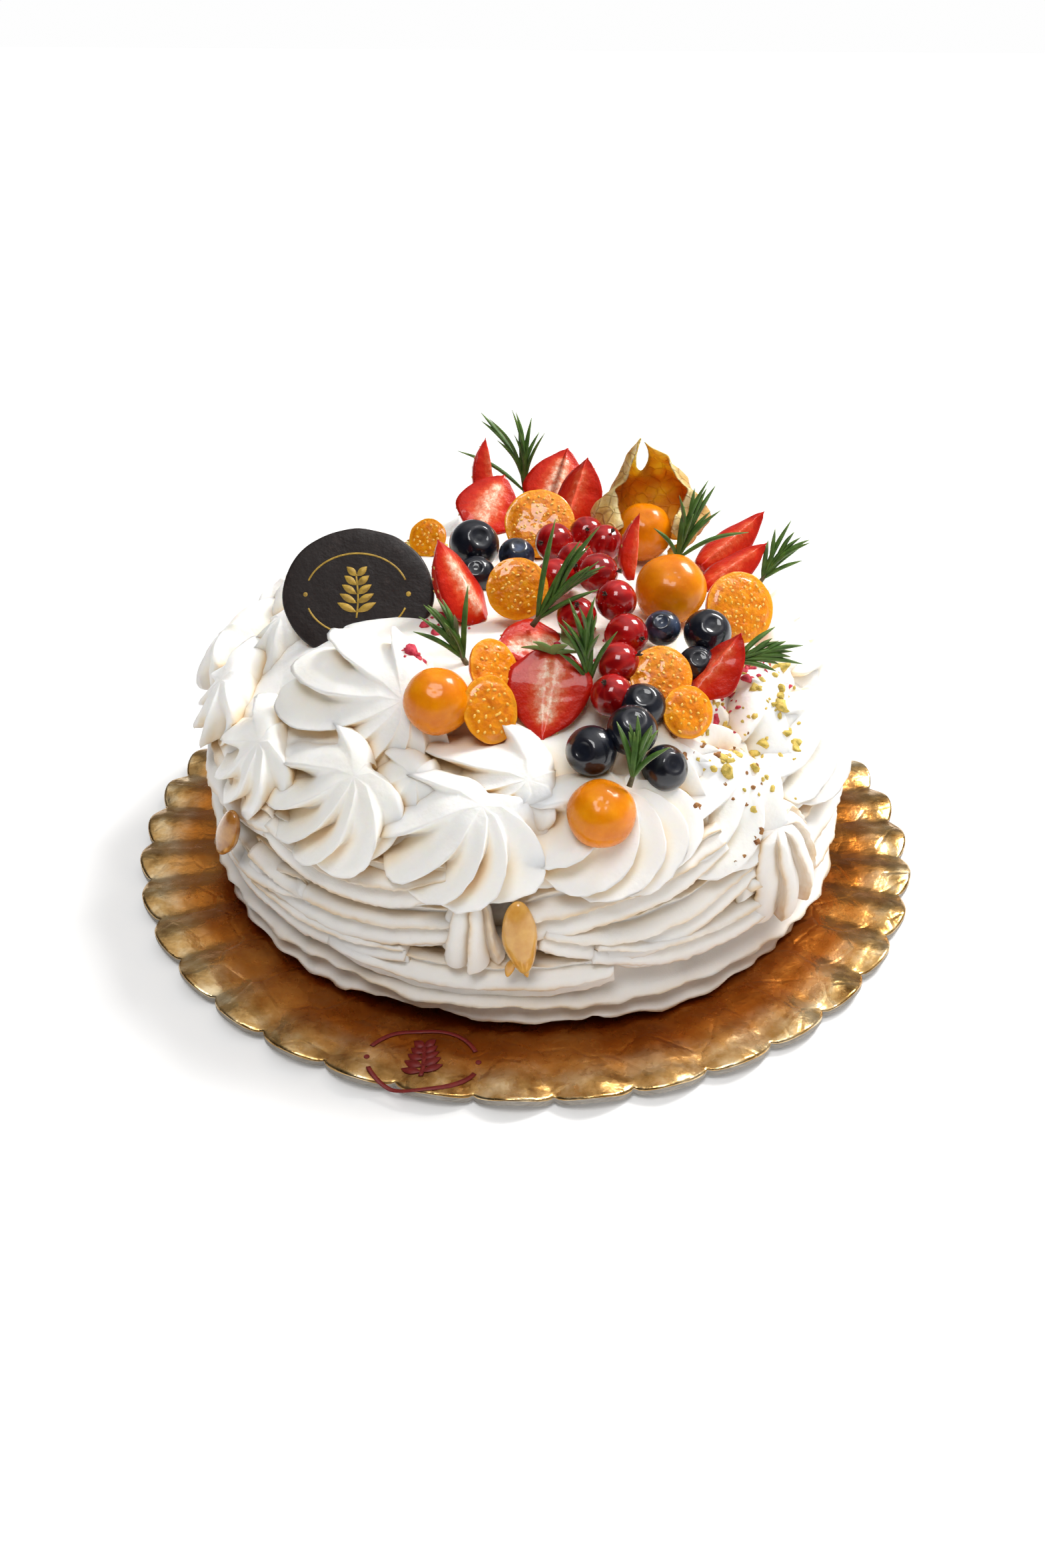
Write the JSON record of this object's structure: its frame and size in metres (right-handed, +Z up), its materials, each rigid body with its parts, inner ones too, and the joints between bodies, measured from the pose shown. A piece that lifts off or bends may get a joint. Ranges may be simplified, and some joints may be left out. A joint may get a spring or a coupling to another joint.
{
  "type": "fruit pavlova",
  "caption": "Round pavlova on a scalloped gold card: piped meringue base, whipped cream rosettes, a heap of physalis, berries, strawberry wedges and rosemary, and a plain oval chocolate plaque",
  "frame": {"origin": "centre of the card, at the level of its underside", "axes": "+Z up, -Y the front of the cake as it is shown, +X to the right seen from the front"},
  "size_m": [0.2352, 0.2354, 0.1152],
  "materials": {
    "foil_board": "gold foil on card, fluted and a little creased",
    "chocolate": "matt dark chocolate",
    "physalis": "glazed orange fruit skin",
    "husk": "dry papery husk",
    "blueberry": "glazed dark blue skin",
    "redcurrant": "clear red glossy skin",
    "strawberry": "glazed red skin, pale cut flesh",
    "rosemary": "narrow leaves, paler beneath",
    "caramel": "glossy caramel",
    "cream": "whipped cream",
    "meringue": "baked meringue"
  },
  "bodies": {
    "root": {"cake_board": "foil_board", "chocolate_plaque": "chocolate", "physalis_whole_1": "physalis", "physalis_whole_2": "physalis", "physalis_whole_3": "physalis", "physalis_whole_4": "physalis", "physalis_cut_1": "physalis", "physalis_cut_2": "physalis", "physalis_cut_3": "physalis", "physalis_cut_4": "physalis", "physalis_cut_5": "physalis", "physalis_cut_6": "physalis", "physalis_cut_7": "physalis", "physalis_cut_8": "physalis", "blueberry_1": "blueberry", "blueberry_2": "blueberry", "blueberry_3": "blueberry", "blueberry_4": "blueberry", "blueberry_5": "blueberry", "blueberry_6": "blueberry", "blueberry_7": "blueberry", "blueberry_8": "blueberry", "blueberry_9": "blueberry", "blueberry_10": "blueberry", "redcurrant_1": "redcurrant", "redcurrant_2": "redcurrant", "redcurrant_3": "redcurrant", "redcurrant_4": "redcurrant", "redcurrant_5": "redcurrant", "redcurrant_6": "redcurrant", "redcurrant_7": "redcurrant", "redcurrant_8": "redcurrant", "redcurrant_9": "redcurrant", "redcurrant_10": "redcurrant", "redcurrant_11": "redcurrant", "strawberry_1": "strawberry", "strawberry_2": "strawberry", "strawberry_3": "strawberry", "strawberry_4": "strawberry", "strawberry_5": "strawberry", "strawberry_6": "strawberry", "strawberry_7": "strawberry", "strawberry_8": "strawberry", "strawberry_9": "strawberry", "strawberry_10": "strawberry", "strawberry_11": "strawberry", "physalis_husk": "husk", "rosemary_1": "rosemary", "rosemary_2": "rosemary", "rosemary_3": "rosemary", "rosemary_4": "rosemary", "rosemary_5": "rosemary", "rosemary_6": "rosemary", "rosemary_7": "rosemary", "rosemary_8": "rosemary", "caramel_front": "caramel", "caramel_left": "caramel", "cream_swirls": "cream", "meringue_base": "meringue"}
  },
  "joints": []
}
